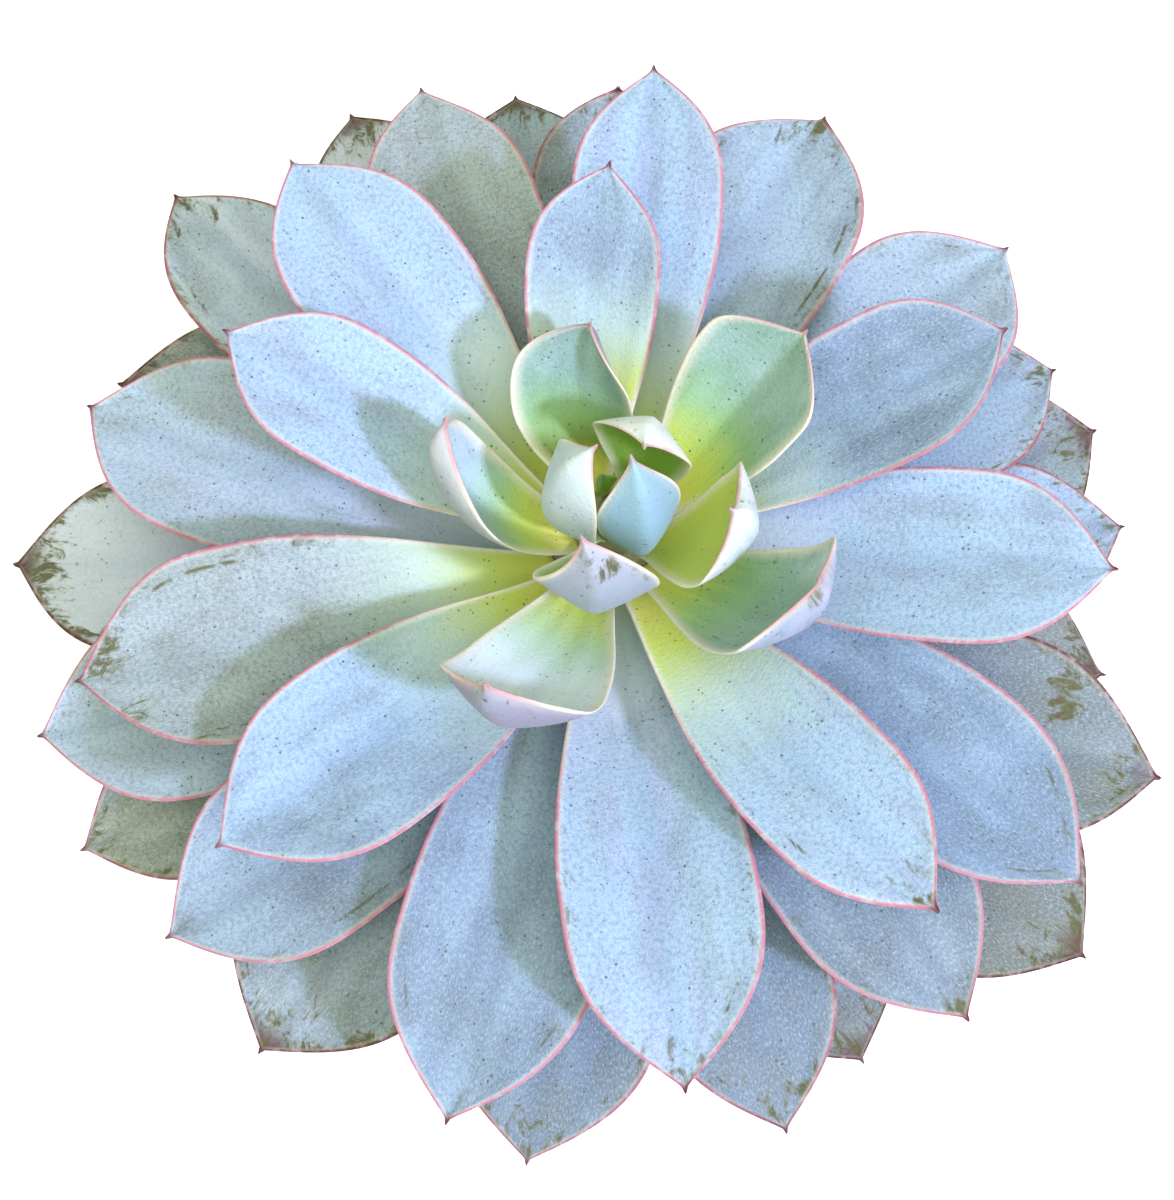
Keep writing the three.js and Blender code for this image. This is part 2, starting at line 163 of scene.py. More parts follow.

# The rings of leaves, from the youngest to the oldest, with a row for each leaf. A ring's shape and
# looks hold for all its leaves, unless a leaf's row gives its own.
# Shape, in degrees and millimetres, as in the model: az, the way that the leaf points; at, its
# height on the stem; length and width; pitch, its climb at the foot and at the tip; bend, roll and
# skew, how it turns, twists and leans to a side; cup, how hollow it is; waist, where it is widest;
# base, the width of its foot; ease and taper, how late the climb changes and the end narrows;
# thick, the body along its middle. Here alone: keel, how the body thins to the margin; fold, how
# far the hollow is a fold; crease, how soft that fold is; wave, how far the margin waves.
# Looks: green, how far the powder turns from blue to grey green; deep, how dark it is; glow, how
# far up the leaf its yellow-green foot and the foot's painted glow reach; wear, how scarred it is;
# back, its under side's colour; mark, where its own scar lies along and across it, and how far that
# reaches; plain_edge, given where the margin has no line.
RINGS = [
    {
        "name": "heart_leaf",
        "skin": {**YOUNG_SKIN, "foot": HEART_FOOT, "edge_pale": 0.7},
        "shape": {"cup": 0.5, "thick": 3.2, "ease": 2, "waist": 0.6, "base": 0.4, "taper": 1.2,
                  "crease": 0.02, "keel": 1.0, "fold": 0.6, "wave": 0.3},
        "looks": {"green": 0.4, "deep": 0.0, "glow": 1.2, "wear": 0.1, "back": CREAM_BACK},
        "leaves": [
            {"az": 284, "at": 173, "length": 53, "width": 19, "pitch": (64, 149), "bend": 8,
             "back": SEA_BACK},
            {"az": 204, "at": 171, "length": 54.5, "width": 22, "pitch": (63, 150), "bend": 3,
             "roll": -6},
            {"az": 62, "at": 171, "length": 46, "width": 24, "pitch": (75, 162), "bend": 4, "skew": -3,
             "cup": 0.34, "ease": 2.6, "back": WHITE_BACK},
            {"az": 250, "at": 168, "length": 63, "width": 28, "pitch": (44, 142), "bend": 52,
             "roll": -19, "cup": 0.34, "waist": 0.5, "wear": 0.3, "mark": (0.84, 0.45, 5.5),
             "back": LAVENDER_BACK},
            {"az": 130, "at": 172, "length": 11, "width": 6, "pitch": (84, 100), "plain_edge": 5,
             "back": HEART_FOOT},
        ],
    },
    {
        "name": "inner_leaf",
        "skin": {**YOUNG_SKIN, "foot": LEAF_FOOT, "edge_pale": 0.75},
        "shape": {"cup": 0.5, "thick": 4.5, "ease": 4, "waist": 0.78, "base": 0.31, "crease": 0.04,
                  "keel": 1.3, "wave": 0.8},
        "looks": {"green": 0.9, "deep": 0.1, "glow": 0.5, "wear": 0.15, "back": LILAC_BACK},
        "leaves": [
            {"az": 328, "at": 167, "length": 52, "width": 30, "pitch": (54, 155), "bend": 20,
             "cup": 0.36, "waist": 0.72, "ease": 5, "glow": 0.9, "deep": 0.5, "back": WHITE_BACK},
            {"az": 316, "at": 162, "length": 76, "width": 33, "pitch": (41, 116), "bend": 5, "skew": 5,
             "cup": 0.34, "glow": 0.43, "green": 1.0, "deep": 0.1, "wear": 0.3,
             "mark": (0.96, -0.4, 4), "back": LAVENDER_BACK},
            {"az": 250, "at": 163, "length": 88, "width": 33, "pitch": (37, 116), "skew": -6,
             "cup": 0.34, "waist": 0.74, "glow": 0.4, "green": -0.6, "deep": -1.0},
            {"az": 193, "at": 165, "length": 59, "width": 24, "pitch": (48, 122), "bend": -26,
             "roll": 20, "skew": -11, "waist": 0.66, "base": 0.42, "glow": 0.5, "green": 0.1,
             "deep": 0.15, "back": ASH_BACK},
            {"az": 117.5, "at": 165, "length": 50, "width": 28, "pitch": (52, 78), "bend": -42,
             "roll": -26, "skew": -3, "waist": 0.58, "base": 0.26, "green": 0.6, "deep": 1.0},
            {"az": 32.5, "at": 164.5, "length": 62, "width": 33, "pitch": (48, 54), "bend": 7,
             "waist": 0.76, "green": 0.8, "deep": 0.42},
        ],
    },
    {
        "name": "middle_leaf",
        "skin": GROWN_SKIN,
        "shape": {"cup": 0.22, "thick": 5, "ease": 1.1, "waist": 0.66, "base": 0.26, "crease": 0.08,
                  "keel": 2, "wave": 1.6},
        "looks": {"green": 0.0, "deep": 0.0, "glow": 0.35, "wear": 0.15, "back": BLUE_BACK},
        "leaves": [
            {"az": 102, "at": 160, "length": 80, "width": 31, "pitch": (48, 24), "bend": -26,
             "glow": 0.53, "deep": 0.35, "green": 0.1},
            {"az": 165, "at": 160, "length": 94, "width": 34, "pitch": (40, 10), "bend": -15},
            {"az": 20, "at": 159.5, "length": 95, "width": 37, "base": 0.24, "pitch": (39, 8),
             "bend": 5, "deep": 0.55, "green": 0.1},
            {"az": 233, "at": 157, "length": 113, "width": 42, "pitch": (35, 2), "bend": -19,
             "glow": 0.4, "deep": 0.32},
            {"az": 300, "at": 157.5, "length": 113, "width": 35, "pitch": (35, 2), "bend": 12,
             "wear": 0.3, "glow": 0.42, "mark": (0.97, -0.3, 6)},
            {"az": 349, "at": 155, "length": 109, "width": 42, "pitch": (31, 4), "bend": 5,
             "glow": 0.14, "deep": 0.05},
            {"az": 81, "at": 155, "length": 106, "width": 36, "pitch": (34, 6), "bend": 7},
            {"az": 205, "at": 152, "length": 118, "width": 47, "pitch": (27, 0), "bend": -13,
             "green": 0.6, "deep": 0.2, "wear": 0.42, "glow": 0.33, "mark": (0.94, -0.5, 10)},
            {"az": 137, "at": 155, "length": 109, "width": 41, "pitch": (32, 4), "bend": -12,
             "deep": -0.15},
            {"az": 277, "at": 152.5, "length": 124, "width": 43, "pitch": (28.5, -2), "glow": 0.12,
             "wear": 0.35, "mark": (0.98, 0, 7)},
        ],
    },
    {
        "name": "outer_leaf",
        "skin": GROWN_SKIN,
        "shape": {"cup": 0.18, "thick": 5, "ease": 1.1, "waist": 0.66, "base": 0.21, "crease": 0.09,
                  "keel": 2, "wave": 1.6},
        "looks": {"green": 0.3, "deep": 0.45, "glow": 0.1, "wear": 0.25, "back": GREY_BACK},
        "leaves": [
            {"az": 325, "at": 151, "length": 126, "width": 42, "pitch": (25.5, -6.5), "bend": -9,
             "green": 0.1, "deep": 0.7},
            {"az": 118, "at": 149, "length": 119, "width": 41, "pitch": (22, -6), "bend": -15,
             "green": 0.7, "deep": 0.1},
            {"az": 67, "at": 148, "length": 116, "width": 49, "pitch": (22, -6), "bend": -8,
             "green": 0.2, "deep": 0.15, "wear": 0.4, "mark": (0.97, 0.1, 6)},
            {"az": 172, "at": 147, "length": 121, "width": 47, "pitch": (18, -8), "bend": -17,
             "green": 0.3, "deep": -0.3},
            {"az": 258, "at": 148.2, "length": 130, "width": 46, "pitch": (22, -8), "bend": -5,
             "green": 0.2, "deep": 0.6},
            {"az": 235, "at": 143.9, "length": 127, "width": 47, "pitch": (15.5, -8), "bend": -26},
            {"az": 307, "at": 146.4, "length": 128, "width": 44, "pitch": (18, -8), "bend": -3,
             "green": 0.45, "deep": 0.8, "mark": (0.98, -0.2, 7)},
            {"az": 204, "at": 140.1, "length": 131, "width": 50, "base": 0.19, "pitch": (11.2, -8),
             "bend": -13, "deep": -0.3},
            {"az": 34, "at": 143, "length": 122, "width": 47, "pitch": (16, -9), "bend": 10,
             "deep": 0.05},
            {"az": 327, "at": 141.7, "length": 132, "width": 48, "pitch": (13.5, -8), "bend": 22,
             "green": 0.7, "deep": 0.85, "wear": 0.6, "mark": (0.8, 0.6, 12)},
        ],
    },
    {
        "name": "oldest_leaf",
        "skin": GROWN_SKIN,
        "shape": {"cup": 0.14, "thick": 4.5, "ease": 1.1, "waist": 0.68, "base": 0.18, "crease": 0.1,
                  "keel": 2, "wave": 1.8},
        "looks": {"green": 0.6, "deep": 0.5, "glow": 0.0, "wear": 0.5, "back": GREY_BACK},
        "leaves": [
            {"az": 120, "at": 136, "length": 138, "width": 45, "pitch": (10, -13), "bend": -6,
             "green": 0.2, "wear": 1.0, "deep": -1.6},
            {"az": 103, "at": 130, "length": 135, "width": 51, "pitch": (5, -11), "bend": -8,
             "green": 0.3, "deep": -0.2, "wear": 0.7},
            {"az": 89, "at": 140, "length": 125, "width": 42, "pitch": (14, -14), "bend": -2},
            {"az": 146, "at": 141, "length": 141, "width": 39, "pitch": (15, -13), "bend": -18,
             "green": 0.2, "deep": -0.7, "mark": (0.98, 0, 5)},
            {"az": 153, "at": 131.8, "length": 128, "width": 54, "pitch": (5.2, -11.5), "bend": 7,
             "green": 1.0, "wear": 0.9},
            {"az": 181, "at": 135.8, "length": 137, "width": 49, "pitch": (8.4, -12), "bend": -5,
             "green": -0.2, "wear": 1.0, "deep": -1.3},
            {"az": 165, "at": 127, "length": 124, "width": 40, "pitch": (1, -8)},
            {"az": 212, "at": 132, "length": 133, "width": 44, "pitch": (8, -12), "bend": -8,
             "green": 1.0, "deep": 0.25},
            {"az": 238, "at": 136.6, "length": 131, "width": 54, "pitch": (11, -13), "bend": -5,
             "green": 0.5, "deep": 0.35, "wear": 0.8},
            {"az": 266, "at": 133, "length": 132, "width": 51, "pitch": (8, -12), "bend": -7,
             "green": 0.4, "deep": 0.9},
            {"az": 287, "at": 139, "length": 131, "width": 43, "pitch": (14, -14), "green": 0.4,
             "deep": 1.0},
            {"az": 296, "at": 127, "length": 122, "width": 50, "pitch": (1, -8), "bend": 4,
             "wear": 0.8},
            {"az": 321, "at": 131, "length": 138, "width": 57, "pitch": (6, -12), "wear": 0.8,
             "green": 0.9, "deep": 1.1, "mark": (0.95, 0.3, 9)},
            {"az": 348, "at": 137.5, "length": 115, "width": 42, "pitch": (9.6, -12.5), "wear": 0.8,
             "green": 1.0, "deep": 0.7},
            {"az": 2, "at": 132.5, "length": 123, "width": 43, "pitch": (5.5, -10), "bend": 10,
             "green": 0.1, "deep": 0.1},
            {"az": 27, "at": 138.5, "length": 118, "width": 44, "pitch": (10.5, -13), "bend": -4,
             "green": 0.2, "deep": 0.1},
            {"az": 16, "at": 127, "length": 127, "width": 52, "pitch": (1, -8), "bend": 7,
             "wear": 0.8},
        ],
    },
]

# The leaf sheets
ROWS = 72
COLUMNS = 28
SPINE_STEPS = 200
TAPER = 1.6  # a leaf's taper and fold, where its ring gives none
FOLD = 0.35
EDGE = 0.5  # thickness at the margin, millimetres
ROUND = 0.18  # how far the margin's round stands out past the sheets, millimetres
SPINE_TIP = 1.6  # length of the little point at the leaf's end, millimetres
WANDER = 0.025  # how far the margin strays, as a share of the half-width
RELIEF = 0.5  # how high the upper face swells and sinks, millimetres
SEED_GAP = 50  # how far apart the leaves' patterns lie, millimetres


def mix(low, high, share):
    return low + (high - low) * share


def clamp(value):
    return max(0.0, min(1.0, value))


def outline(s, waist, base, taper):
    """A leaf's half-width as a share of the greatest, at a share s of its length."""
    if s < waist:
        return mix(base, 1, math.sin(math.pi / 2 * s / waist) ** 1.4)
    t = min(1, (s - waist) / (1 - waist))
    return max(0, math.cos(math.pi / 2 * t**taper)) ** 1.05


def stem_radius(z):
    """The stem's radius at a height: straight, then rounded off to its top."""
    if z < STEM_SHOULDER:
        return STEM_RADIUS
    t = min(1, (z - STEM_SHOULDER) / (STEM_TOP - STEM_SHOULDER))
    return STEM_RADIUS * math.sqrt(max(0, 1 - t**1.6))


def stem_centre(z):
    """Where the stem's middle is at a height, as it leans."""
    t = max(0, (z - LEAN_FROM) / (STEM_TOP - LEAN_FROM))
    return [reach * t**1.5 for reach in LEAN]


def midrib(leaf):
    """Points and axes along the leaf's midrib, from its root to its tip."""
    start = stem_radius(leaf["at"]) + GAP
    x, y = stem_centre(leaf["at"])
    az = math.radians(leaf["az"])
    point = Vector((x + start * math.cos(az), y + start * math.sin(az), leaf["at"]))

    def axes_at(s):
        """The ways ahead, to the left and up out of the leaf's face."""
        rise = math.radians(mix(*leaf["pitch"], s ** leaf["ease"]))
        heading = math.radians(leaf["az"] + leaf.get("bend", 0) * s)
        turn = math.radians(leaf.get("roll", 0) * s)
        ahead = Vector(
            (math.cos(rise) * math.cos(heading), math.cos(rise) * math.sin(heading), math.sin(rise))
        )
        left = Vector((-math.sin(heading), math.cos(heading), 0))
        up = ahead.cross(left)
        return (
            ahead,
            left * math.cos(turn) + up * math.sin(turn),
            up * math.cos(turn) - left * math.sin(turn),
        )

    stations = [(point.copy(), *axes_at(0)[1:])]
    for i in range(SPINE_STEPS):
        point += axes_at((i + 0.5) / SPINE_STEPS)[0] * (leaf["length"] / SPINE_STEPS)
        stations.append((point.copy(), *axes_at((i + 1) / SPINE_STEPS)[1:]))
    return stations


def station(stations, s):
    """The point and axes at a share s of the midrib, between its two nearest stations."""
    place = clamp(s) * SPINE_STEPS
    i = min(int(place), SPINE_STEPS - 1)
    return [a.lerp(b, place - i) for a, b in zip(stations[i], stations[i + 1])]


def ripple(x, y, seed):
    """A soft wander round 0, its own for each seed."""
    return noise.noise(Vector((x, y, seed * 3.7)))


def half_width(leaf, s, side):
    """The leaf's half-width at s, with a small wander of its margin and a little point at its tip."""
    tip_share = SPINE_TIP / leaf["length"]
    taper = leaf.get("taper", TAPER)
    body = leaf["width"] / 2 * outline(s / (1 - tip_share * 0.6), leaf["waist"], leaf["base"], taper)
    wander = 1 + WANDER * ripple(s * 5, side * 2.3, leaf["seed"])
    point = 0.6 * clamp((1 - s) / tip_share) ** 0.8 + 0.1
    return max(body * wander, point)


def blade_point(leaf, stations, s, v, under):
    """A point of the leaf, in millimetres: under is 0 on the upper face, 1 on the lower one and
    0.5 round the margin."""
    point, left, up = station(stations, s)
    half = half_width(leaf, s, math.copysign(1, v))
    fold = mix(leaf.get("fold", FOLD), 0.8, s**3)
    depth = leaf["cup"] * mix(0.7, 1, min(1, 2 * s))
    soft = math.hypot(v, leaf["crease"])
    rise = depth * half * (fold * (soft - leaf["crease"]) + (1 - fold) * v * v)
    slope = depth * (fold * v / soft + 2 * (1 - fold) * v)
    swell = mix(0.45, 1, s / 0.3) if s < 0.3 else mix(1, 0.45, (s - 0.3) / 0.7)
    body = leaf["thick"] * swell + EDGE
    thickness = mix(body, EDGE, abs(v) ** leaf["keel"]) * min(1, 0.25 + 0.75 * half / 6)
    wave = leaf["wave"] * v * v * clamp(s * 1.5) * ripple(s * 3.2, v * 1.4, leaf["seed"] + 5)
    relief = RELIEF * clamp(half / 6) * ripple(s * leaf["length"] / 34, v * 3.2, leaf["seed"] + 9)
    lean = math.hypot(1, slope)
    round_off = ROUND * clamp(half / 2)
    out = (half - round_off) * v
    if 0.25 < under < 0.75:
        out = half * v
    out += leaf.get("skew", 0) * s**5
    depth_here = thickness * under
    return (
        point
        + left * (out + depth_here * slope / lean)
        + up * (rise + wave + relief * (1 - under) - depth_here / lean)
    )


def leaf_bmesh(leaf):
    """A closed blade on a grid: the upper sheet, a lower sheet grown from it, a round margin."""
    bm = bmesh.new()
    layer = {word: bm.verts.layers.float.new(word) for word in ("along", "across", "under")}
    bmesh.ops.create_grid(bm, x_segments=COLUMNS, y_segments=ROWS, size=1.0)
    for vert in bm.verts:
        s = (vert.co.y + 1) / 2
        vert[layer["along"]] = 1 - (1 - s) ** 1.25
        vert[layer["across"]] = math.sin(vert.co.x * math.pi / 2) * 0.55 + vert.co.x * 0.45
    grown = bmesh.ops.extrude_face_region(bm, geom=bm.faces[:])["geom"]
    for vert in grown:
        if isinstance(vert, bmesh.types.BMVert):
            vert[layer["under"]] = 1.0
    walls = [e for e in bm.edges if e.verts[0][layer["under"]] != e.verts[1][layer["under"]]]
    bmesh.ops.subdivide_edges(bm, edges=walls, cuts=1)
    return bm, layer


def write_uv(bm, layer):
    """A flat map of the leaf: across it from 0 to 1, and along it from its foot to its tip."""
    uv = bm.loops.layers.uv.new("leaf")
    for face in bm.faces:
        for loop in face.loops:
            vert = loop.vert
            loop[uv].uv = (vert[layer["across"]] / 2 + 0.5, vert[layer["along"]])


def mark_spot(leaf):
    """Where the leaf's own scar lies, in millimetres across and along it, and its reach."""
    s, v, reach = leaf.get("mark", (0, 0, 0))
    return Vector((v * half_width(leaf, s, math.copysign(1, v)), s * leaf["length"], reach))


def leaf_object(name, leaf):
    """The leaf's blade, with what its skin reads kept on every vertex."""
    bm, layer = leaf_bmesh(leaf)
    stations = midrib(leaf)
    place = bm.verts.layers.float_vector.new("place")
    share = bm.verts.layers.float_vector.new("share")
    tone = bm.verts.layers.float_vector.new("tone")
    back = bm.verts.layers.float_vector.new("back")
    rest = bm.verts.layers.float_vector.new("rest")
    mark = bm.verts.layers.float_vector.new("mark")
    spot = mark_spot(leaf)
    for vert in bm.verts:
        s, v, under = (vert[layer[word]] for word in ("along", "across", "under"))
        vert.co = blade_point(leaf, stations, s, v, under) * MM
        half = half_width(leaf, s, math.copysign(1, v))
        vert[place] = Vector((v * half, s * leaf["length"], leaf["seed"] * SEED_GAP))
        tip_gap = (1 - s) * leaf["length"]
        edge_gap = min(half * (1 - abs(v)), tip_gap) + leaf.get("plain_edge", 0)
        vert[share] = Vector((edge_gap, s, under))
        vert[tone] = Vector((leaf["green"], leaf["deep"], leaf["glow"]))
        vert[rest] = Vector((leaf["wear"], tip_gap, v))
        vert[back] = Vector(leaf["back"][:3])
        vert[mark] = spot
    write_uv(bm, layer)
    bmesh.ops.recalc_face_normals(bm, faces=bm.faces[:])
    return finished(name, bm)


def finished(name, bm):
    """An object at the origin with the bmesh as its smooth mesh."""
    mesh = bpy.data.meshes.new(name)
    for face in bm.faces:
        face.smooth = True
    bm.to_mesh(mesh)
    bm.free()
    piece = bpy.data.objects.new(name, mesh)
    bpy.context.scene.collection.objects.link(piece)
    return piece


# Materials


class Finish:
    """A material and short calls that add nodes to it. A value is a number or a socket."""

    def __init__(self, name):
        self.material = bpy.data.materials.new(name)
        self.material.use_nodes = True
        self.tree = self.material.node_tree
        self.shader = self.tree.nodes["Principled BSDF"]

    def put(self, socket, value):
        if isinstance(value, bpy.types.NodeSocket):
            self.tree.links.new(value, socket)
        else:
            socket.default_value = value

    def node(self, kind, inputs=None, **settings):
        node = self.tree.nodes.new(kind)
        for key, value in settings.items():
            setattr(node, key, value)
        for key, value in (inputs or {}).items():
            self.put(node.inputs[key], value)
        return node

    def maths(self, operation, a, b=0.0, c=0.0):
        return self.node("ShaderNodeMath", {0: a, 1: b, 2: c}, operation=operation).outputs[0]

    def times(self, a, b):
        return self.maths("MULTIPLY", a, b)

    def plus(self, a, b):
        return self.maths("ADD", a, b)

    def minus(self, a, b):
        return self.maths("SUBTRACT", a, b)

    def share_of(self, a, b):
        return self.maths("DIVIDE", a, b)

    def larger(self, a, b):
        return self.maths("MAXIMUM", a, b)

    def size_of(self, a):
        return self.maths("ABSOLUTE", a)

    def ramp(self, value, low, high, bottom=0.0, top=1.0):
        """A smooth step from bottom to top, as the value goes from low to high."""
        names = {"Value": value, "From Min": low, "From Max": high, "To Min": bottom, "To Max": top}
        return self.node("ShaderNodeMapRange", names, interpolation_type="SMOOTHSTEP").outputs[0]

    def blend(self, share, below, above):
        """The colour below, covered by the one above as far as the share says."""
        node = self.node("ShaderNodeMix", data_type="RGBA")
        self.put(node.inputs["Factor"], share)
        self.put(node.inputs[6], below)
        self.put(node.inputs[7], above)
        return node.outputs[2]

    def stretch(self, vector, across, along, deep=1.0):
        """The vector with each of its ways scaled: a small factor draws a pattern out."""
        factors = {0: vector, 1: (across, along, deep)}
        return self.node("ShaderNodeVectorMath", factors, operation="MULTIPLY").outputs[0]

    def grain(self, vector, scale, detail=3.0, roughness=0.55, warp=0.0):
        """Soft noise, from 0 to 1 and mostly near a half."""
        names = {
            "Vector": vector,
            "Scale": scale,
            "Detail": detail,
            "Roughness": roughness,
            "Distortion": warp,
        }
        return self.node("ShaderNodeTexNoise", names).outputs["Fac"]

    def spots(self, vector, scale):
        return self.node("ShaderNodeTexVoronoi", {"Vector": vector, "Scale": scale}, feature="F1")

    def attribute(self, name):
        node = self.node("ShaderNodeAttribute", attribute_name=name, attribute_type="GEOMETRY")
        return node.outputs["Vector"]

    def parts(self, vector):
        return self.node("ShaderNodeSeparateXYZ", {0: vector}).outputs

    def bump(self, height, strength, distance):
        names = {"Height": height, "Strength": strength, "Distance": distance}
        node = self.node("ShaderNodeBump", names)
        self.put(self.shader.inputs["Normal"], node.outputs[0])

    def colour(self, value):
        self.put(self.shader.inputs["Base Color"], value)

    def set(self, **values):
        for key, value in values.items():
            self.put(self.shader.inputs[key.replace("_", " ")], value)


PAINTED_FOOT_GLOW = 0.14  # how brightly the painted glow on the leaves' feet shows, reaching furthest up the young leaves: the feet give off their own colour as light, standing in for light that comes through them
SKIN_BUMP = 0.95
SKIN_DEPTH = 0.25 * MM  # how deep the finest grain of the skin is


class LeafSkin(Finish):
    """Powdered leaf skin. powders: blue and green, pale and then deep, and the palest bloom. halo
    and foot: the green above the leaf's foot and the foot's own, where the leaf also gives off a
    painted glow. edge_pale: how far the margin is cream instead of pink, and how wide and strong the
    painted glow inside it is. painted_paling: painted light and shade along the leaf, from where to
    where along it its shade changes, and from what to what. grit: how strongly the fine grain of the
    powder shows."""

    def __init__(self, name, powders, halo, foot, edge_pale, painted_paling, grit):
        super().__init__(name)
        self.painted_paling = painted_paling
        self.grit = grit
        self.place = self.attribute("place")
        self.edge, self.along, self.under = self.parts(self.attribute("share"))
        self.green, self.deep, self.glow = self.parts(self.attribute("tone"))
        self.wear, self.tip_gap, self.across = self.parts(self.attribute("rest"))
        self.clouds = self.grain(self.stretch(self.place, 0.07, 0.04), 1.0, 3.0, 0.6)
        self.streaks = self.grain(self.stretch(self.place, 0.9, 0.06), 1.0, 2.0, 0.6)
        self.fibres = self.grain(self.stretch(self.place, 2.3, 1.0), 1.0, 3.0, 0.75)
        self.mottle = self.grain(self.place, 0.9, 3.0, 0.75)
        colour = self.powder(*powders)
        colour = self.foot(colour, halo, foot)
        colour = self.back(colour, powders[2])
        colour, speck = self.specks(colour)
        colour = self.scars(colour)
        colour = self.margin(colour, edge_pale)
        self.colour(colour)
        # Painted glow: the leaf's foot gives off its own colour as light, standing in for light that
        # comes through it
        self.put(self.shader.inputs["Emission Color"], self.blend(self.foot_and_painted_glow, BLACK, colour))
        self.put(self.shader.inputs["Emission Strength"], PAINTED_FOOT_GLOW)
        rough = self.plus(self.ramp(self.mottle, 0.3, 0.7, 0.5, 0.66), self.times(speck, -0.15))
        self.put(self.shader.inputs["Roughness"], rough)
        height = self.plus(self.times(self.fibres, 0.6), self.mottle)
        self.bump(height, SKIN_BUMP, SKIN_DEPTH)
        self.set(Sheen_Weight=0.1, Sheen_Roughness=0.5, Specular_IOR_Level=0.35)

    def powder(self, blue, green, deep_blue, deep_green, bloom):
        """Blue to green powder, cloudy and gritty, with soft darker lines along the leaf, lavender
        bands that also carry painted ridge shade, painted light and shade along the leaf, and painted
        shade down the midrib.
        """
        bands = self.grain(self.stretch(self.place, 0.13, 0.02), 1.0, 1.0)
        turn = self.plus(self.green, self.ramp(self.clouds, 0.4, 0.7, 0.0, 0.25))
        pale = self.blend(self.ramp(bands, 0.45, 0.65, 0.0, 0.6), blue, LAVENDER_POWDER)
        pale = self.blend(turn, pale, green)
        dark = self.blend(turn, deep_blue, deep_green)
        shade = self.plus(self.times(self.deep, 0.8), self.ramp(self.clouds, 0.35, 0.75, -0.1, 0.35))
        # Painted light and shade along the leaf: grown leaves are painted paler towards the foot and a
        # little darker towards the tip, young leaves paler towards the tip
        shade = self.plus(shade, self.ramp(self.along, *self.painted_paling))
        # Painted shade: the soft bands also darken and lighten the powder a little, as the shading of
        # the leaf's long ridges
        shade = self.plus(shade, self.ramp(bands, 0.3, 0.7, -0.1, 0.15))
        colour = self.blend(self.ramp(shade, 0.0, 1.0), pale, dark)
        colour = self.blend(self.ramp(shade, -0.8, 0.0, 0.9, 0.0), colour, bloom)
        line_strength = self.ramp(self.clouds, 0.3, 0.6, 0.05, 0.25)
        lines = self.times(self.ramp(self.streaks, 0.5, 0.8), line_strength)
        colour = self.blend(lines, colour, deep_green)
        frosted = self.ramp(self.fibres, 0.42, 0.68, 0.0, self.grit * 0.8)
        colour = self.blend(frosted, colour, bloom)
        grit = self.ramp(self.mottle, 0.45, 0.64, 0.0, self.grit)
        grit = self.times(grit, self.ramp(shade, -0.8, 0.2, 0.4, 1.0))
        colour = self.blend(grit, colour, dark)
        # Painted shade: a darker band down the middle of the leaf, as the shade in the groove along
        # its midrib
        midrib = self.ramp(self.size_of(self.across), 0.0, 0.3, 0.2, 0.0)
        return self.blend(midrib, colour, dark)

    def foot(self, colour, halo_green, foot_green):
        """The yellow-green foot, with a soft pale green halo above it, the mask of the foot's painted
        glow, and a brighter yellow painted as light at the very foot.
        """
        wobble = self.times(self.minus(self.streaks, 0.5), 0.14)
        reach = self.minus(self.plus(self.along, wobble), self.glow)
        shines = self.ramp(self.glow, 0.0, 0.15)
        halo = self.times(self.ramp(reach, -0.1, 0.22, 0.7, 0.0), shines)
        # Where the foot's own colour lies, and where the leaf gives off its painted glow
        self.foot_and_painted_glow = self.times(self.ramp(reach, -0.24, 0.02, 1.0, 0.0), shines)
        colour = self.blend(halo, colour, halo_green)
        foot = self.blend(self.ramp(self.deep, 0.4, 1.0), foot_green, DEEP_FOOT)
        colour = self.blend(self.foot_and_painted_glow, colour, foot)
        # Painted light: the very foot of leaves whose yellow-green foot reaches less far up turns a
        # brighter yellow, a painted glow
        yellow = self.ramp(reach, -0.4, -0.18, 0.8, 0.0)
        yellow = self.times(yellow, self.ramp(self.glow, 0.6, 0.8, 1.0, 0.0))
        return self.blend(self.times(yellow, shines), colour, YELLOW_FOOT_PAINTED_GLOW)

    def back(self, colour, deep_blue):
        """The under side's own colour, with clouds of the deep powder."""
        clouded = self.ramp(self.clouds, 0.4, 0.65, 0.0, 0.35)
        back = self.blend(clouded, self.attribute("back"), deep_blue)
        return self.blend(self.times(self.ramp(self.under, 0.6, 1.0), 0.9), colour, back)

    def specks(self, colour):
        """Fine dark dots, in drifts."""
        dots = self.spots(self.place, 0.75)
        drift = self.grain(self.place, 0.1, 1.0)
        chance, grade, _ = self.parts(dots.outputs["Color"])
        near_dot = self.share_of(dots.outputs["Distance"], self.plus(grade, 0.35))
        speck = self.times(self.ramp(near_dot, 0.1, 0.26, 1.0, 0.0), self.ramp(chance, 0.5, 0.54))
        speck = self.times(speck, self.ramp(drift, 0.38, 0.54))
        return self.blend(self.times(speck, 0.8), colour, SPECK), speck

    def near_mark(self):
        """How near the leaf's own scar is: 1 at its middle, 0 past its reach."""
        mark_x, mark_y, reach = self.parts(self.attribute("mark"))
        x, y, _ = self.parts(self.place)
        aside = self.minus(x, mark_x)
        ahead = self.minus(y, mark_y)
        square = self.plus(self.times(aside, aside), self.times(ahead, ahead))
        far = self.share_of(self.maths("SQRT", square), self.plus(reach, 0.01))
        return self.ramp(far, 0.3, 1.0, 1.0, 0.0)

